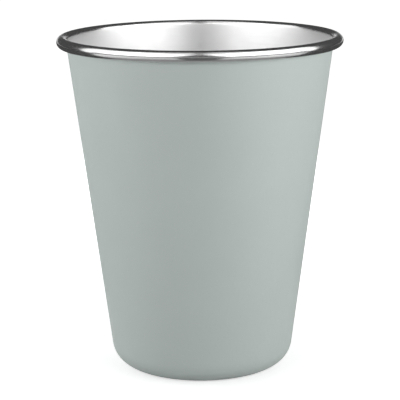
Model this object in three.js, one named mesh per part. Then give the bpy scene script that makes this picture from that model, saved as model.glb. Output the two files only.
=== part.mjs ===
// A tapered stainless steel drinking cup of about 350 ml, with a powder coat on the outside of its wall.
// The steel is one disc of sheet, drawn into a cup, pressed up in the middle of its floor and rolled
// outwards at its edge. Millimetres, +Z up, origin on the table under the cup's axis.
import * as THREE from 'three';

// Driving dimensions
const CUP_HEIGHT = 104; // table to the top of the rolled rim
const RIM_DIAMETER = 88; // over the outside of the rolled rim
const BASE_DIAMETER = 54.8; // where the steel wall's outside, carried straight down, would meet the table
const SHEET = 0.5; // thickness of the steel
const CURL_DIAMETER = 3.5; // over the outside of the rolled edge, in section
const CURL_GAP = 0.3; // from the rolled edge's cut end to the coated wall beside it
const HEEL_RADIUS = 7.7; // outside bend from the wall into the floor
const STANDING_WIDTH = 2.5; // flat ring that the cup stands on
const FLOOR_LIFT = 1.2; // height that the floor's middle panel is pressed up off the table
const STEP_RADIUS = 3; // both bends of the step up to that panel, at the middle of the sheet
const COAT = 0.1; // thickness of the powder coat
const COAT_LIFT = 0.1; // the coat's lower edge, clear of the table
const BOND = 0.02; // clearance between the coat and the steel that it is baked on

// Fineness of the round faces
const TURN_FACETS = 64; // around the cup's axis
const BEND_FACET = THREE.MathUtils.degToRad(15); // the most that one facet of a bend turns
const SAME_POINT = 0.001; // points nearer to each other than this are one point

const QUARTER = Math.PI / 2;
const point = (radius, height) => new THREE.Vector2(radius, height);

// Angles along a bend, in facets of at most BEND_FACET. Each quarter turn on the way is one of them, so
// that the bend's widest, highest and lowest points are exact.
function bendAngles(from, to) {
  const low = Math.min(from, to);
  const high = Math.max(from, to);
  const stops = [low];
  for (let quarter = Math.floor(low / QUARTER) + 1; quarter * QUARTER < high; quarter++) {
    stops.push(quarter * QUARTER);
  }
  stops.push(high);
  const angles = stops.slice(1).flatMap((stop, i) => {
    const facets = Math.ceil((stop - stops[i]) / BEND_FACET);
    return Array.from({ length: facets }, (_, k) => THREE.MathUtils.lerp(stops[i], stop, (k + 1) / facets));
  });
  angles.unshift(low);
  return to < from ? angles.reverse() : angles;
}

// Points along an arc in the section plane, where x is the distance from the axis and y the height.
function arc(centre, radius, from, to) {
  return bendAngles(from, to).map((angle) =>
    point(centre.x + radius * Math.cos(angle), centre.y + radius * Math.sin(angle)),
  );
}

// The section without points that repeat the one before, which tangent bends share where they meet.
const joined = (points) => points.filter((p, i) => i === 0 || p.distanceTo(points[i - 1]) > SAME_POINT);

// A round piece made by turning its section about the cup's axis.
function turned(name, section, material) {
  const mesh = new THREE.Mesh(new THREE.LatheGeometry(joined(section), TURN_FACETS), material);
  mesh.name = name;
  mesh.rotation.x = QUARTER; // the lathe turns about Y, and the cup stands along Z
  return mesh;
}

// The rolled edge is a circle in section. The sheet's drink side is on the outside of the curl.
const curlOuter = CURL_DIAMETER / 2;
const curlInner = curlOuter - SHEET;
const curlCentre = point(RIM_DIAMETER / 2 - curlOuter, CUP_HEIGHT - curlOuter);

// The wall's outside starts over the base diameter and runs up to touch the inside of the curl.
const reach = curlCentre.clone().sub(point(BASE_DIAMETER / 2, 0));
const taper = Math.atan2(reach.x, reach.y) - Math.asin(curlInner / reach.length());
const towardsAxis = point(-Math.cos(taper), Math.sin(taper)); // square to the wall
const downWall = point(-Math.sin(taper), -Math.cos(taper));

// The curl stops short of the coated wall, so its hollow stays open along a slit.
const slit = Math.acos((curlInner - BOND - COAT - CURL_GAP) / curlOuter);
const curlStart = Math.PI - taper;
const curlEnd = curlStart - 2 * Math.PI + slit;

// The heel bends from the standing ring into the wall. The coat covers it down to just off the table.
const heelCentre = point(
  BASE_DIAMETER / 2 + HEEL_RADIUS * (Math.tan(taper) - 1 / Math.cos(taper)),
  HEEL_RADIUS,
);
const coatEdge = -Math.asin((HEEL_RADIUS - COAT_LIFT) / (HEEL_RADIUS + BOND + COAT));

// The floor steps up inside the standing ring through two equal bends, one each way.
const stepTurn = Math.acos(1 - FLOOR_LIFT / (2 * STEP_RADIUS));
const stepNear = STEP_RADIUS - SHEET / 2; // radius of the face on the bend's inner side
const stepFar = STEP_RADIUS + SHEET / 2;
const standingInner = heelCentre.x - STANDING_WIDTH;
const panelRadius = standingInner - 2 * STEP_RADIUS * Math.sin(stepTurn);

// The bends of the sheet from the axis out to its cut edge, with the radius of each face there:
// under is the table's and the coat's side, drink is the side that holds the drink.
const panelBend = {
  centre: point(panelRadius, FLOOR_LIFT - stepNear),
  from: QUARTER,
  to: QUARTER - stepTurn,
  under: stepNear,
  drink: stepFar,
};
const ringBend = {
  centre: point(standingInner, stepFar),
  from: -QUARTER - stepTurn,
  to: -QUARTER,
  under: stepFar,
  drink: stepNear,
};
const heel = { centre: heelCentre, under: HEEL_RADIUS, drink: HEEL_RADIUS - SHEET };
const bareHeel = { ...heel, from: -QUARTER, to: coatEdge };
const coatedHeel = { ...heel, from: coatEdge, to: -taper };
const curl = { centre: curlCentre, from: curlStart, to: curlEnd, under: curlInner, drink: curlOuter };
const bends = [panelBend, ringBend, bareHeel, coatedHeel, curl];

// One face of the sheet, from the axis to the cut edge.
const face = (side) => bends.flatMap((bend) => arc(bend.centre, bend[side], bend.from, bend.to));

// The cup itself: floor, wall and rolled rim in one piece of sheet.
function steelCup() {
  const stainless = new THREE.MeshStandardMaterial({ color: 0xc8cacb, metalness: 1, roughness: 0.28 });
  const section = [
    point(0, FLOOR_LIFT),
    ...face('under'),
    ...face('drink').reverse(),
    point(0, FLOOR_LIFT + SHEET),
  ];
  return turned('steel_cup', section, stainless);
}

// The coat: a thin skin baked on the wall, from the slit under the rim round the heel.
function powderCoat() {
  const satinGrey = new THREE.MeshStandardMaterial({ color: 0xacb5b2, metalness: 0, roughness: 0.5 });
  const topEdge = (lift) =>
    curlCentre
      .clone()
      .addScaledVector(towardsAxis, curlInner - lift)
      .addScaledVector(downWall, curlOuter * Math.sin(slit));
  const side = (lift) => [
    ...arc(heelCentre, HEEL_RADIUS + lift, coatedHeel.from, coatedHeel.to),
    topEdge(lift),
  ];
  const outside = side(BOND + COAT);
  const section = [...outside, ...side(BOND).reverse(), outside[0]];
  return turned('powder_coat', section, satinGrey);
}

const cup = new THREE.Group();
cup.add(steelCup(), powderCoat());

export default cup;
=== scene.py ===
import math
import bpy
from mathutils import Matrix, Vector


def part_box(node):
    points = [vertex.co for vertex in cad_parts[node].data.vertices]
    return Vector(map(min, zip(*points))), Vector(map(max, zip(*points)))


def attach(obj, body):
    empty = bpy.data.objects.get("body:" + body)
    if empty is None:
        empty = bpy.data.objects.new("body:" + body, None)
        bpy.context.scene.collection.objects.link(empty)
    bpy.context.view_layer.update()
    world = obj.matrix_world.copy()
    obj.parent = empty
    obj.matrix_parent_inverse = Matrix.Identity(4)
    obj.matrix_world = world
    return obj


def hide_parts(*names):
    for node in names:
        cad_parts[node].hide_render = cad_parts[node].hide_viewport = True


bpy.context.scene.view_settings.view_transform = "Standard"
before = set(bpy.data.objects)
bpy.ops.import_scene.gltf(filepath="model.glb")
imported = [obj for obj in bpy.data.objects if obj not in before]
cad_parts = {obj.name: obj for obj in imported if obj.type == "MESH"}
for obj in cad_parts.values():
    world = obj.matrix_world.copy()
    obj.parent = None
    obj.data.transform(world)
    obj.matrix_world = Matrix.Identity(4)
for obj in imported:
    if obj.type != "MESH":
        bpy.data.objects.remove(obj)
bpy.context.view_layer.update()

# Steel cup: floor, wall and rolled rim in one piece. A disc of stainless sheet is drawn into a cup, its
# floor is pressed up in the middle so that it stands on a ring, and its edge is rolled outwards into a
# hollow curl. The inside is belt polished and the curl buffed bright. The underside stays as pressed.
cup_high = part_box("steel_cup")[1]
CUP_HEIGHT = cup_high.z
RIM_RADIUS = cup_high.x
BASE_RADIUS = 0.0274  # where the wall's outside, carried straight down, would meet the table
SHEET = 0.0005  # metres, as all lengths here are
CURL_DIAMETER = 0.0035
CURL_GAP = 0.0003  # from the curl's cut edge to the coated wall
HEEL_RADIUS = 0.0077  # outside bend from the wall into the floor
STANDING_WIDTH = 0.0025  # flat ring that the cup stands on
FLOOR_LIFT = 0.0012  # how far the floor's middle is pressed up
STEP_RADIUS = 0.003  # both bends of the step up to it
COAT = 0.0001
BOND = 0.00002  # clearance between the coat and the steel
TURN_STEPS = 256
BEND_STEP = math.radians(5)
WALL_RINGS = 16
FLOOR_RINGS = 6
QUARTER = math.pi / 2

# The sheet's section is drawn along its middle. Each bend is an arc about its own centre.
curl_radius = (CURL_DIAMETER - SHEET) / 2
curl_inside = CURL_DIAMETER / 2 - SHEET
curl_centre = Vector((RIM_RADIUS - CURL_DIAMETER / 2, CUP_HEIGHT - CURL_DIAMETER / 2))
reach = curl_centre - Vector((BASE_RADIUS, 0))
taper = math.atan2(reach.x, reach.y) - math.asin(curl_inside / reach.length)
slit = math.acos((curl_inside - BOND - COAT - CURL_GAP) * 2 / CURL_DIAMETER)
heel_centre = Vector((BASE_RADIUS + HEEL_RADIUS * (math.tan(taper) - 1 / math.cos(taper)), HEEL_RADIUS))
step_turn = math.acos(1 - FLOOR_LIFT / (2 * STEP_RADIUS))
standing_inner = heel_centre.x - STANDING_WIDTH
panel_radius = standing_inner - 2 * STEP_RADIUS * math.sin(step_turn)
panel_centre = Vector((panel_radius, FLOOR_LIFT + SHEET / 2 - STEP_RADIUS))
ring_centre = Vector((standing_inner, SHEET / 2 + STEP_RADIUS))


def arc(centre, radius, start, end):
    """Points along a bend of the section, one every few degrees."""
    steps = math.ceil(abs(end - start) / BEND_STEP)
    angles = [start + (end - start) * i / steps for i in range(steps + 1)]
    return [centre + radius * Vector((math.cos(a), math.sin(a))) for a in angles]


def straight(start, end, rings):
    """Points between two ends, closer together towards both, where the sheet starts to bend."""
    return [start.lerp(end, (1 - math.cos(math.pi * i / rings)) / 2) for i in range(1, rings)]


panel_bend = arc(panel_centre, STEP_RADIUS, QUARTER, QUARTER - step_turn)
ring_bend = arc(ring_centre, STEP_RADIUS, -QUARTER - step_turn, -QUARTER)
heel_bend = arc(heel_centre, HEEL_RADIUS - SHEET / 2, -QUARTER, -taper)
curl_bend = arc(curl_centre, curl_radius, math.pi - taper, slit - math.pi - taper)
floor_middle = Vector((0, FLOOR_LIFT + SHEET / 2))
sheet_section = [
    floor_middle,
    *straight(floor_middle, panel_bend[0], FLOOR_RINGS),
    *panel_bend,
    *ring_bend[1:],
    *straight(ring_bend[-1], heel_bend[0], FLOOR_RINGS),
    *heel_bend,
    *straight(heel_bend[-1], curl_bend[0], WALL_RINGS),
    *curl_bend,
]


def add(tree, kind, links, **settings):
    """Adds a node with its settings. Each input is linked to a socket or set to a value."""
    node = tree.nodes.new(kind)
    for name, value in settings.items():
        setattr(node, name, value)
    for name, source in links.items():
        if isinstance(source, bpy.types.NodeSocket):
            tree.links.new(source, node.inputs[name])
        else:
            node.inputs[name].default_value = source
    return node


# A sheet turned about the cup's axis from the line along the middle of its section. The line is swept
# round a small circle, moved out by half the thickness one way, and thickened back the other way.
PATH_RADIUS = 0.01
WELD = 1e-7  # points nearer to each other than this are one point
turned_sheet = bpy.data.node_groups.new("Turned sheet", "GeometryNodeTree")
turned_sheet.is_modifier = True
turned_sheet.interface.new_socket("Geometry", in_out="OUTPUT", socket_type="NodeSocketGeometry")
turned_inputs = {
    name: turned_sheet.interface.new_socket(name, in_out="INPUT", socket_type=kind).identifier
    for name, kind in {
        "Section": "NodeSocketGeometry",
        "Thickness": "NodeSocketFloat",
        "Turn steps": "NodeSocketInt",
        "Inside finish": "NodeSocketMaterial",
        "Outside finish": "NodeSocketMaterial",
    }.items()
}
given = turned_sheet.nodes.new("NodeGroupInput").outputs
line = add(turned_sheet, "GeometryNodeMeshToCurve", {"Mesh": given["Section"]})
line = add(
    turned_sheet,
    "GeometryNodeTransform",
    {"Geometry": line.outputs[0], "Translation": (-PATH_RADIUS, 0, 0), "Rotation": (math.pi, 0, 0)},
)
path = add(
    turned_sheet,
    "GeometryNodeCurvePrimitiveCircle",
    {"Resolution": given["Turn steps"], "Radius": PATH_RADIUS},
)
path = add(turned_sheet, "GeometryNodeSetCurveNormal", {"Curve": path.outputs["Curve"]}, mode="Z_UP")
middle = add(
    turned_sheet,
    "GeometryNodeCurveToMesh",
    {"Curve": path.outputs[0], "Profile Curve": line.outputs[0]},
)
middle = add(turned_sheet, "GeometryNodeMergeByDistance", {"Geometry": middle.outputs[0], "Distance": WELD})
normal = add(turned_sheet, "GeometryNodeInputNormal", {})
half = add(turned_sheet, "ShaderNodeMath", {0: given["Thickness"], 1: -0.5}, operation="MULTIPLY")
sunk = add(
    turned_sheet,
    "ShaderNodeVectorMath",
    {0: normal.outputs["Normal"], "Scale": half.outputs[0]},
    operation="SCALE",
)
outside = add(
    turned_sheet,
    "GeometryNodeSetPosition",
    {"Geometry": middle.outputs[0], "Offset": sunk.outputs[0]},
)
inside = add(
    turned_sheet,
    "GeometryNodeExtrudeMesh",
    {
        "Mesh": outside.outputs[0],
        "Offset": normal.outputs["Normal"],
        "Offset Scale": given["Thickness"],
        "Individual": False,
    },
)
outside = add(turned_sheet, "GeometryNodeFlipFaces", {"Mesh": outside.outputs[0]})
both = turned_sheet.nodes.new("GeometryNodeJoinGeometry")
turned_sheet.links.new(outside.outputs[0], both.inputs[0])
turned_sheet.links.new(inside.outputs["Mesh"], both.inputs[0])
solid = add(turned_sheet, "GeometryNodeMergeByDistance", {"Geometry": both.outputs[0], "Distance": WELD})
solid = add(turned_sheet, "GeometryNodeSetShadeSmooth", {"Geometry": solid.outputs[0], "Shade Smooth": True})
solid = add(
    turned_sheet,
    "GeometryNodeSetShadeSmooth",
    {"Geometry": solid.outputs[0], "Selection": inside.outputs["Side"], "Shade Smooth": False},
)
solid = add(turned_sheet, "GeometryNodeRealizeInstances", {"Geometry": solid.outputs[0]})
solid = add(
    turned_sheet,
    "GeometryNodeSetMaterial",
    {"Geometry": solid.outputs[0], "Material": given["Outside finish"]},
)
solid = add(
    turned_sheet,
    "GeometryNodeSetMaterial",
    {"Geometry": solid.outputs[0], "Selection": inside.outputs["Top"], "Material": given["Inside finish"]},
)
finished = turned_sheet.nodes.new("NodeGroupOutput")
turned_sheet.links.new(solid.outputs[0], finished.inputs["Geometry"])


def turned(name, section, sizes):
    """A finished piece from its section, whose points are a distance from the axis and a height."""
    drawing = bpy.data.meshes.new(name + "_section")
    drawing.from_pydata([(p.x, p.y, 0) for p in section], [(i, i + 1) for i in range(len(section) - 1)], [])
    piece = bpy.data.objects.new(name, drawing)
    bpy.context.scene.collection.objects.link(piece)
    turning = piece.modifiers.new("Turned sheet", "NODES")
    turning.node_group = turned_sheet
    for size, value in sizes.items():
        turning[turned_inputs[size]] = value
    evaluated = piece.evaluated_get(bpy.context.evaluated_depsgraph_get())
    mesh = bpy.data.meshes.new_from_object(evaluated)
    mesh.materials.pop(index=0)  # the drawing's own slot, which is empty
    piece.modifiers.remove(turning)
    piece.data = mesh
    mesh.name = name
    bpy.data.meshes.remove(drawing)
    return piece


def linear(colour):
    """The linear colour of an sRGB hex value such as #ffffff."""
    channels = [int(colour[i:i + 2], 16) / 255 for i in (1, 3, 5)]
    return [c / 12.92 if c <= 0.04045 else ((c + 0.055) / 1.055) ** 2.4 for c in channels] + [1]


def emptied(owner):
    """The node tree of a new material or world, with nothing in it yet."""
    owner.use_nodes = True
    owner.node_tree.nodes.clear()
    return owner.node_tree


# Polished stainless: satin from the belt inside, and buffed nearly to a mirror on the curl. The eye sees
# soft upright bands down the wall, crisp ones along the curl, and a ragged edge where the buffing stops.
# The belt's lines run round the cup and are drawn wider and deeper than the real ones, so that they show.
STEEL_COLOURS = ("#d1d1d1", "#d6d6d6")
SATIN_ROUGHNESS = (0.41, 0.47)
BUFFED_ROUGHNESS = 0.18
BUFFED_FROM = RIM_RADIUS - CURL_DIAMETER  # distance from the axis
BUFFED_FADE = 0.0002
RAGGED_EDGE = 0.0002
MOTTLE_SIZE = 0.002  # shallow waves that drawing leaves in the sheet
MOTTLE_DEPTH = 0.000004
MOTTLE_RANGE = (0.3, 0.7)  # what the noise mostly keeps within
LINE_WIDTH = 0.0004
LINE_LENGTH = 0.012
LINE_DEPTH = 0.000016
polished_steel = bpy.data.materials.new("stainless_polished")
tree = emptied(polished_steel)
place = add(tree, "ShaderNodeTexCoord", {}).outputs["Object"]
spot = add(tree, "ShaderNodeSeparateXYZ", {0: place}).outputs
mottle = add(tree, "ShaderNodeTexNoise", {"Vector": place, "Scale": 1 / MOTTLE_SIZE, "Detail": 3})
across = add(tree, "ShaderNodeVectorMath", {0: place, 1: (1, 1, 0)}, operation="MULTIPLY")
from_axis = add(tree, "ShaderNodeVectorMath", {0: across.outputs[0]}, operation="LENGTH")
along = add(tree, "ShaderNodeMath", {0: from_axis.outputs["Value"], 1: spot["Z"]}, operation="ADD")
along = add(tree, "ShaderNodeMath", {0: along.outputs[0], 1: LINE_LENGTH / LINE_WIDTH}, operation="MULTIPLY")
line_place = add(tree, "ShaderNodeCombineXYZ", {0: spot["X"], 1: spot["Y"], 2: along.outputs[0]})
lines = add(
    tree,
    "ShaderNodeTexNoise",
    {"Vector": line_place.outputs[0], "Scale": 1 / LINE_LENGTH, "Detail": 2},
)
# Inputs 6 and 7 of a Mix node are its two colours.
colour = add(
    tree,
    "ShaderNodeMix",
    {0: lines.outputs["Fac"], 6: linear(STEEL_COLOURS[0]), 7: linear(STEEL_COLOURS[1])},
    data_type="RGBA",
)
satin = add(
    tree,
    "ShaderNodeMapRange",
    {
        "Value": mottle.outputs["Fac"],
        "From Min": MOTTLE_RANGE[0],
        "From Max": MOTTLE_RANGE[1],
        "To Min": SATIN_ROUGHNESS[0],
        "To Max": SATIN_ROUGHNESS[1],
    },
)
ragged = add(
    tree,
    "ShaderNodeMath",
    {0: mottle.outputs["Fac"], 1: RAGGED_EDGE, 2: from_axis.outputs["Value"]},
    operation="MULTIPLY_ADD",
)
rough = add(
    tree,
    "ShaderNodeMapRange",
    {
        "Value": ragged.outputs[0],
        "From Min": BUFFED_FROM + RAGGED_EDGE / 2,
        "From Max": BUFFED_FROM + RAGGED_EDGE / 2 + BUFFED_FADE,
        "To Min": satin.outputs[0],
        "To Max": BUFFED_ROUGHNESS,
    },
)
waves = add(tree, "ShaderNodeBump", {"Height": mottle.outputs["Fac"], "Distance": MOTTLE_DEPTH})
relief = add(
    tree,
    "ShaderNodeBump",
    {"Height": lines.outputs["Fac"], "Distance": LINE_DEPTH, "Normal": waves.outputs[0]},
)
surface = add(
    tree,
    "ShaderNodeBsdfPrincipled",
    {
        "Base Color": colour.outputs[2],
        "Metallic": 1,
        "Roughness": rough.outputs[0],
        "Normal": relief.outputs[0],
    },
)
add(tree, "ShaderNodeOutputMaterial", {"Surface": surface.outputs[0]})

# Stainless as pressed, on the underside: the mill's dull grey, with the faint straight lines that rolling
# leaves in a sheet. They too are drawn wider than the real ones.
PRESSED_COLOURS = ("#b5b5b5", "#c3c3c3")
PRESSED_ROUGHNESS = (0.32, 0.42)
ROLLED_WIDTH = 0.0006
ROLLED_LENGTH = 0.03
pressed_steel = bpy.data.materials.new("stainless_as_pressed")
tree = emptied(pressed_steel)
place = add(tree, "ShaderNodeTexCoord", {}).outputs["Object"]
rolled_place = add(
    tree,
    "ShaderNodeVectorMath",
    {0: place, 1: (1, ROLLED_LENGTH / ROLLED_WIDTH, 1)},
    operation="MULTIPLY",
)
rolled = add(
    tree,
    "ShaderNodeTexNoise",
    {"Vector": rolled_place.outputs[0], "Scale": 1 / ROLLED_LENGTH, "Detail": 2},
)
colour = add(
    tree,
    "ShaderNodeMix",
    {0: rolled.outputs["Fac"], 6: linear(PRESSED_COLOURS[0]), 7: linear(PRESSED_COLOURS[1])},
    data_type="RGBA",
)
rough = add(
    tree,
    "ShaderNodeMapRange",
    {"Value": rolled.outputs["Fac"], "To Min": PRESSED_ROUGHNESS[0], "To Max": PRESSED_ROUGHNESS[1]},
)
surface = add(
    tree,
    "ShaderNodeBsdfPrincipled",
    {"Base Color": colour.outputs[2], "Metallic": 1, "Roughness": rough.outputs[0]},
)
add(tree, "ShaderNodeOutputMaterial", {"Surface": surface.outputs[0]})

steel_cup = turned(
    "cup_of_stainless_sheet",
    sheet_section,
    {
        "Thickness": SHEET,
        "Turn steps": TURN_STEPS,
        "Inside finish": polished_steel,
        "Outside finish": pressed_steel,
    },
)
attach(steel_cup, "root")
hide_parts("steel_cup")

# Powder coat: a thin polyester film on the outside of the wall, from the slit behind the curl down
# round the heel to just off the table. It is sprayed on as powder and baked until it melts.
COAT_LIFT = 0.0001
coat_radius = HEEL_RADIUS + BOND + COAT / 2
coat_edge = -math.asin((HEEL_RADIUS - COAT_LIFT) / (HEEL_RADIUS + BOND + COAT))
towards_axis = Vector((-math.cos(taper), math.sin(taper)))
down_wall = Vector((-math.sin(taper), -math.cos(taper)))
coat_top = (
    curl_centre
    + towards_axis * (curl_inside - BOND - COAT / 2)
    + down_wall * CURL_DIAMETER / 2 * math.sin(slit)
)
coat_bend = arc(heel_centre, coat_radius, coat_edge, -taper)
coat_section = [*coat_bend, *straight(coat_bend[-1], coat_top, WALL_RINGS), coat_top]

# Satin polyester powder coat: a soft broad sheen on a pale grey-green. The melted powder sets with fine
# ripples, called orange peel, which are drawn deeper than the real ones, and with slight clouds of tone.
COAT_COLOURS = ("#b2bbb8", "#b6bfbc")
COAT_ROUGHNESS = (0.46, 0.54)
CLOUD_SIZE = 0.015
PEEL_SIZE = 0.0012
PEEL_DEPTH = 0.00005
satin_coat = bpy.data.materials.new("powder_coat_satin")
tree = emptied(satin_coat)
place = add(tree, "ShaderNodeTexCoord", {}).outputs["Object"]
clouds = add(tree, "ShaderNodeTexNoise", {"Vector": place, "Scale": 1 / CLOUD_SIZE, "Detail": 2})
peel = add(tree, "ShaderNodeTexNoise", {"Vector": place, "Scale": 1 / PEEL_SIZE, "Detail": 2})
colour = add(
    tree,
    "ShaderNodeMix",
    {0: clouds.outputs["Fac"], 6: linear(COAT_COLOURS[0]), 7: linear(COAT_COLOURS[1])},
    data_type="RGBA",
)
rough = add(
    tree,
    "ShaderNodeMapRange",
    {"Value": peel.outputs["Fac"], "To Min": COAT_ROUGHNESS[0], "To Max": COAT_ROUGHNESS[1]},
)
relief = add(tree, "ShaderNodeBump", {"Height": peel.outputs["Fac"], "Distance": PEEL_DEPTH})
surface = add(
    tree,
    "ShaderNodeBsdfPrincipled",
    {"Base Color": colour.outputs[2], "Roughness": rough.outputs[0], "Normal": relief.outputs[0]},
)
add(tree, "ShaderNodeOutputMaterial", {"Surface": surface.outputs[0]})

powder_coat = turned(
    "coat_of_grey_powder",
    coat_section,
    {
        "Thickness": COAT,
        "Turn steps": TURN_STEPS,
        "Inside finish": satin_coat,
        "Outside finish": satin_coat,
    },
)
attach(powder_coat, "root")
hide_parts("powder_coat")

# Table and room: a matt white board that glows white to the camera away from the cup, and keeps the cup's
# shadow near it, in a white room that lights the cup only dimly. In the steel the board shows grey, with a
# painted shadow that makes it darker towards the cup. Outside the part that the photograph shows, which runs
# back from the cup, the board fades to pale grey, so that the bright rim stands out from it in the other
# views.
TABLE_RADIUS = 3
TABLE_SIDES = 128
TABLE_COLOUR = "#e2e2e2"
GLOW_NEAR = 0.56
GLOW_RISES = (0.03, 0.2)  # distances from the cup's axis, as in the next three pairs
# Over these distances the painted shadow that reflections see on the board fades out.
MIRRORED_PAINTED_SHADOW_ENDS = (0.06, 0.3)
FADE_STARTS = (0.05, 0.16)
FADE_RUNS = (0.12, 0.6)
MIRRORED_FAR = 0.25
FADED = 0.72
SHOWN_SIDES = (0.22, 0.45)  # where the part that the photograph shows ends on either side, along X
SHOWN_FRONT = (-0.08, -0.3)  # and at its front, along Y
WHITE = "#ffffff"
ROOM_LIGHT = 0.1


def seen(tree, direct, mirrored):
    """How bright a background looks: one level to the camera, another in reflections, and none as light."""
    ray = add(tree, "ShaderNodeLightPath", {}).outputs
    bounced = add(
        tree,
        "ShaderNodeMath",
        {0: ray["Is Glossy Ray"], 1: ray["Is Transmission Ray"]},
        operation="MAXIMUM",
    )
    reflected = add(tree, "ShaderNodeMath", {0: bounced.outputs[0], 1: mirrored}, operation="MULTIPLY")
    return add(
        tree,
        "ShaderNodeMath",
        {0: ray["Is Camera Ray"], 1: direct, 2: reflected.outputs[0]},
        operation="MULTIPLY_ADD",
    ).outputs[0]


def ramp(tree, value, ends, levels=(0, 1), kind="SMOOTHSTEP"):
    """A level that changes from the first to the second while a value runs between two ends."""
    names = ("From Min", "From Max", "To Min", "To Max")
    links = {"Value": value, **dict(zip(names, (*ends, *levels)))}
    return add(tree, "ShaderNodeMapRange", links, interpolation_type=kind).outputs[0]


board = bpy.data.materials.new("white_board")
tree = emptied(board)
place = add(tree, "ShaderNodeTexCoord", {}).outputs["Object"]
spot = add(tree, "ShaderNodeSeparateXYZ", {0: place}).outputs
distance = add(tree, "ShaderNodeVectorMath", {0: place}, operation="LENGTH").outputs["Value"]
direct = ramp(tree, distance, GLOW_RISES, (GLOW_NEAR, 1), "LINEAR")
# Painted shadow: in reflections the board's glow is nil near the cup and rises away from it.
mirrored = ramp(tree, distance, MIRRORED_PAINTED_SHADOW_ENDS, (0, MIRRORED_FAR), "LINEAR")
white = add(
    tree,
    "ShaderNodeBsdfPrincipled",
    {
        "Base Color": linear(TABLE_COLOUR),
        "Roughness": 1,
        "Specular IOR Level": 0,
        "Emission Color": linear(WHITE),
        "Emission Strength": seen(tree, direct, mirrored),
    },
)
faded = ramp(tree, distance, FADE_RUNS, (1, FADED))
grey = add(tree, "ShaderNodeEmission", {"Color": linear(WHITE), "Strength": faded})
across = add(tree, "ShaderNodeMath", {0: spot["X"]}, operation="ABSOLUTE").outputs[0]
outside = add(
    tree,
    "ShaderNodeMath",
    {0: ramp(tree, across, SHOWN_SIDES), 1: ramp(tree, spot["Y"], SHOWN_FRONT)},
    operation="MAXIMUM",
)
share = ramp(tree, distance, FADE_STARTS, (0, outside.outputs[0]))
surface = add(
    tree,
    "ShaderNodeMixShader",
    {0: seen(tree, share, 0), 1: white.outputs[0], 2: grey.outputs[0]},
)
add(tree, "ShaderNodeOutputMaterial", {"Surface": surface.outputs[0]})
bpy.ops.mesh.primitive_circle_add(vertices=TABLE_SIDES, radius=TABLE_RADIUS, fill_type="NGON")
table = bpy.context.object
table.name = "table"
table.data.materials.append(board)

room = bpy.data.worlds.new("white_room")
bpy.context.scene.world = room
tree = emptied(room)
lighting = add(tree, "ShaderNodeBackground", {"Color": linear(WHITE), "Strength": ROOM_LIGHT})
showing = add(tree, "ShaderNodeBackground", {"Color": linear(WHITE), "Strength": 1})
mixed = add(
    tree,
    "ShaderNodeMixShader",
    {0: seen(tree, 1, 1), 1: lighting.outputs[0], 2: showing.outputs[0]},
)
add(tree, "ShaderNodeOutputWorld", {"Surface": mixed.outputs[0]})

# Cards round the table, out of the picture: a black tent behind and above the cup, a black strip in front
# that runs up behind the camera and overhead, and a grey skirt and apron nearer the cup. Each glows at its
# own shade, as painted light, instead of being lit, and the apron is painted shadow of the cup on the table.
# They give the bright steel its dark edges, show in reflections only, and light nothing.
TENT_COLOUR = "#4e4e4e"
TENT_RADIUS = 1.2
TENT_HEIGHT = 1.6
TENT_FRONT = -0.18  # where the curtain ends on either side of the cup
TENT_PANELS = 12
REAR_GAP = 0.21  # the curtain is raised by this much at the back, which puts a glint on the curl's sides
REAR_GAP_POWER = 8  # and by less and less towards its sides
MAT_NEAR = 0.085
MAT_LIFT = 0.001
STRIP_COLOUR = "#666666"
STRIP_NEAR = 0.085
STRIP_FAR = 1.1
STRIP_NEAR_HALF = 0.02
STRIP_FAR_HALF = 0.36
STRIP_TOP_HALF = 0.075
STRIP_HEIGHT = 1.2
STRIP_LIFT = 0.002
SKIRT_COLOUR = "#a8a8a8"
SKIRT_RADIUS = 0.5
SKIRT_HEIGHT = 0.115
# The apron's grey is painted shadow of the cup on the table, seen only in reflections.
APRON_PAINTED_SHADOW_COLOUR = "#a0a0a0"
APRON_NEAR = 0.03
APRON_FRONT = 0.13
REAR = 0
FRONT = math.pi


def half_ring(start, radius, height):
    """Points round half of the table, from its right end for the rear and its left end for the front."""
    turns = [start + math.pi * i / TENT_PANELS for i in range(TENT_PANELS + 1)]
    return [(radius * math.cos(a), radius * math.sin(a), height) for a in turns]


def between(count):
    """Faces that join two rows of points, of the same count, the second listed after the first."""
    return [(i, i + 1, count + i + 1, count + i) for i in range(count - 1)]


def card(name, colour, points, faces):
    """A card of one shade that glows, as painted light, and only shows in reflections."""
    card_glow = bpy.data.materials.new(name)
    tree = emptied(card_glow)
    surface = add(tree, "ShaderNodeEmission", {"Color": linear(colour)})
    add(tree, "ShaderNodeOutputMaterial", {"Surface": surface.outputs[0]})
    mesh = bpy.data.meshes.new(name)
    mesh.from_pydata(points, [], faces)
    mesh.materials.append(card_glow)
    made = bpy.data.objects.new(name, mesh)
    bpy.context.scene.collection.objects.link(made)
    made.visible_camera = False
    made.visible_shadow = False
    made.visible_diffuse = False


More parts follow.
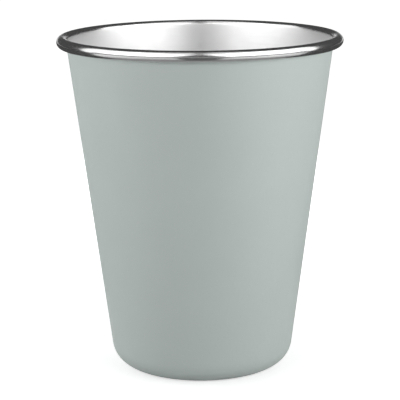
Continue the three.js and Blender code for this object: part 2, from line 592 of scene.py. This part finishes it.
ring = half_ring(REAR, TENT_RADIUS, MAT_LIFT)
foot = [(x, y, z + REAR_GAP * (y / TENT_RADIUS) ** REAR_GAP_POWER) for x, y, z in ring]
foot = [(TENT_RADIUS, TENT_FRONT, MAT_LIFT), *foot, (-TENT_RADIUS, TENT_FRONT, MAT_LIFT)]
top = [(x, y, TENT_HEIGHT) for x, y, z in foot]
card("black_curtain", TENT_COLOUR, foot + top, between(len(foot)))
card("black_ceiling", TENT_COLOUR, half_ring(REAR, TENT_RADIUS, TENT_HEIGHT), [range(TENT_PANELS + 1)])
mat = half_ring(REAR, MAT_NEAR, MAT_LIFT) + ring
card("black_mat", TENT_COLOUR, mat, between(len(ring)))
strip = [
    (-STRIP_NEAR_HALF, -STRIP_NEAR, STRIP_LIFT),
    (STRIP_NEAR_HALF, -STRIP_NEAR, STRIP_LIFT),
    (STRIP_FAR_HALF, -STRIP_FAR, STRIP_LIFT),
    (-STRIP_FAR_HALF, -STRIP_FAR, STRIP_LIFT),
    (STRIP_TOP_HALF, -STRIP_FAR, STRIP_HEIGHT),
    (-STRIP_TOP_HALF, -STRIP_FAR, STRIP_HEIGHT),
    (STRIP_TOP_HALF, 0, TENT_HEIGHT),
    (-STRIP_TOP_HALF, 0, TENT_HEIGHT),
]
card("black_strip", STRIP_COLOUR, strip, [(0, 1, 2, 3), (3, 2, 4, 5), (5, 4, 6, 7)])
skirt = half_ring(FRONT, SKIRT_RADIUS, MAT_LIFT) + half_ring(FRONT, SKIRT_RADIUS, SKIRT_HEIGHT)
card("grey_skirt", SKIRT_COLOUR, skirt, between(TENT_PANELS + 1))
# Painted shadow: grey aprons close round the cup darken the table where the steel reflects it.
for name, start, far in (("painted_shadow_apron_front", FRONT, APRON_FRONT), ("painted_shadow_apron_rear", REAR, MAT_NEAR)):
    apron = half_ring(start, APRON_NEAR, MAT_LIFT) + half_ring(start, far, MAT_LIFT)
    card(name, APRON_PAINTED_SHADOW_COLOUR, apron, between(TENT_PANELS + 1))

# Lamps: six low softboxes stand round the cup and light its coat and the table. Two large panels lean
# over the table at the front's sides, and show as the bright bands in the steel and the coat's sheen.
LAMP_AIM = Vector((0, 0, CUP_HEIGHT / 2))
SOFTBOX_RISE = 12
SOFTBOX_DISTANCE = 0.35
SOFTBOX_SIZE = (0.3, 0.2)
SOFTBOXES = (
    ("softbox_left", -95, 2.61),
    ("softbox_front_left", -50, 2.13),
    ("softbox_front_right", 50, 3.78),
    ("softbox_right", 92, 1.22),
    ("softbox_rear_left", -150, 1.74),
    ("softbox_rear_right", 150, 1.74),
)
PANEL_RISE = 28
PANEL_DISTANCE = 0.62
PANEL_SIZE = (1.06, 0.78)
PANELS = (("panel_left", -64, 1.5), ("panel_right", 62, 1.85))


def lamp(name, turn, rise, distance, size, radiance):
    """A soft lamp that faces the cup, placed by angles in degrees round from its front and up."""
    light = bpy.data.lights.new(name, "AREA")
    light.shape = "RECTANGLE"
    light.size, light.size_y = size
    light.energy = radiance * math.pi * light.size * light.size_y
    stand = bpy.data.objects.new(name, light)
    bpy.context.scene.collection.objects.link(stand)
    round_cup = Matrix.Rotation(math.radians(turn), 3, "Z")
    away = round_cup @ Matrix.Rotation(-math.radians(rise), 3, "X") @ Vector((0, -1, 0))
    stand.location = LAMP_AIM + away * distance
    stand.rotation_euler = away.to_track_quat("Z", "Y").to_euler()
    stand.visible_camera = False
    return stand


for name, turn, radiance in SOFTBOXES:
    softbox = lamp(name, turn, SOFTBOX_RISE, SOFTBOX_DISTANCE, SOFTBOX_SIZE, radiance)
    softbox.visible_glossy = False
for name, turn, radiance in PANELS:
    panel = lamp(name, turn, PANEL_RISE, PANEL_DISTANCE, PANEL_SIZE, radiance)
    panel.visible_diffuse = False

# Camera: a long lens half a metre off, a little above the rim, aimed at the middle of the cup and rolled
# by the small angle at which the cup leans in the photograph.
CAMERA_PLACE = Vector((0, -0.5173, 0.1622))
CAMERA_AIM = Vector((-0.00035, 0, 0.0519))
CAMERA_ROLL = math.radians(-0.455)
SENSOR_WIDTH = 36
FOCAL_LENGTH = 151.95
lens = bpy.data.cameras.new("camera")
lens.sensor_width = SENSOR_WIDTH
lens.lens = FOCAL_LENGTH
camera = bpy.data.objects.new("camera", lens)
bpy.context.scene.collection.objects.link(camera)
aimed = (CAMERA_AIM - CAMERA_PLACE).to_track_quat("-Z", "Y").to_matrix().to_4x4()
camera.matrix_world = Matrix.Translation(CAMERA_PLACE) @ aimed @ Matrix.Rotation(CAMERA_ROLL, 4, "Z")
bpy.context.scene.camera = camera
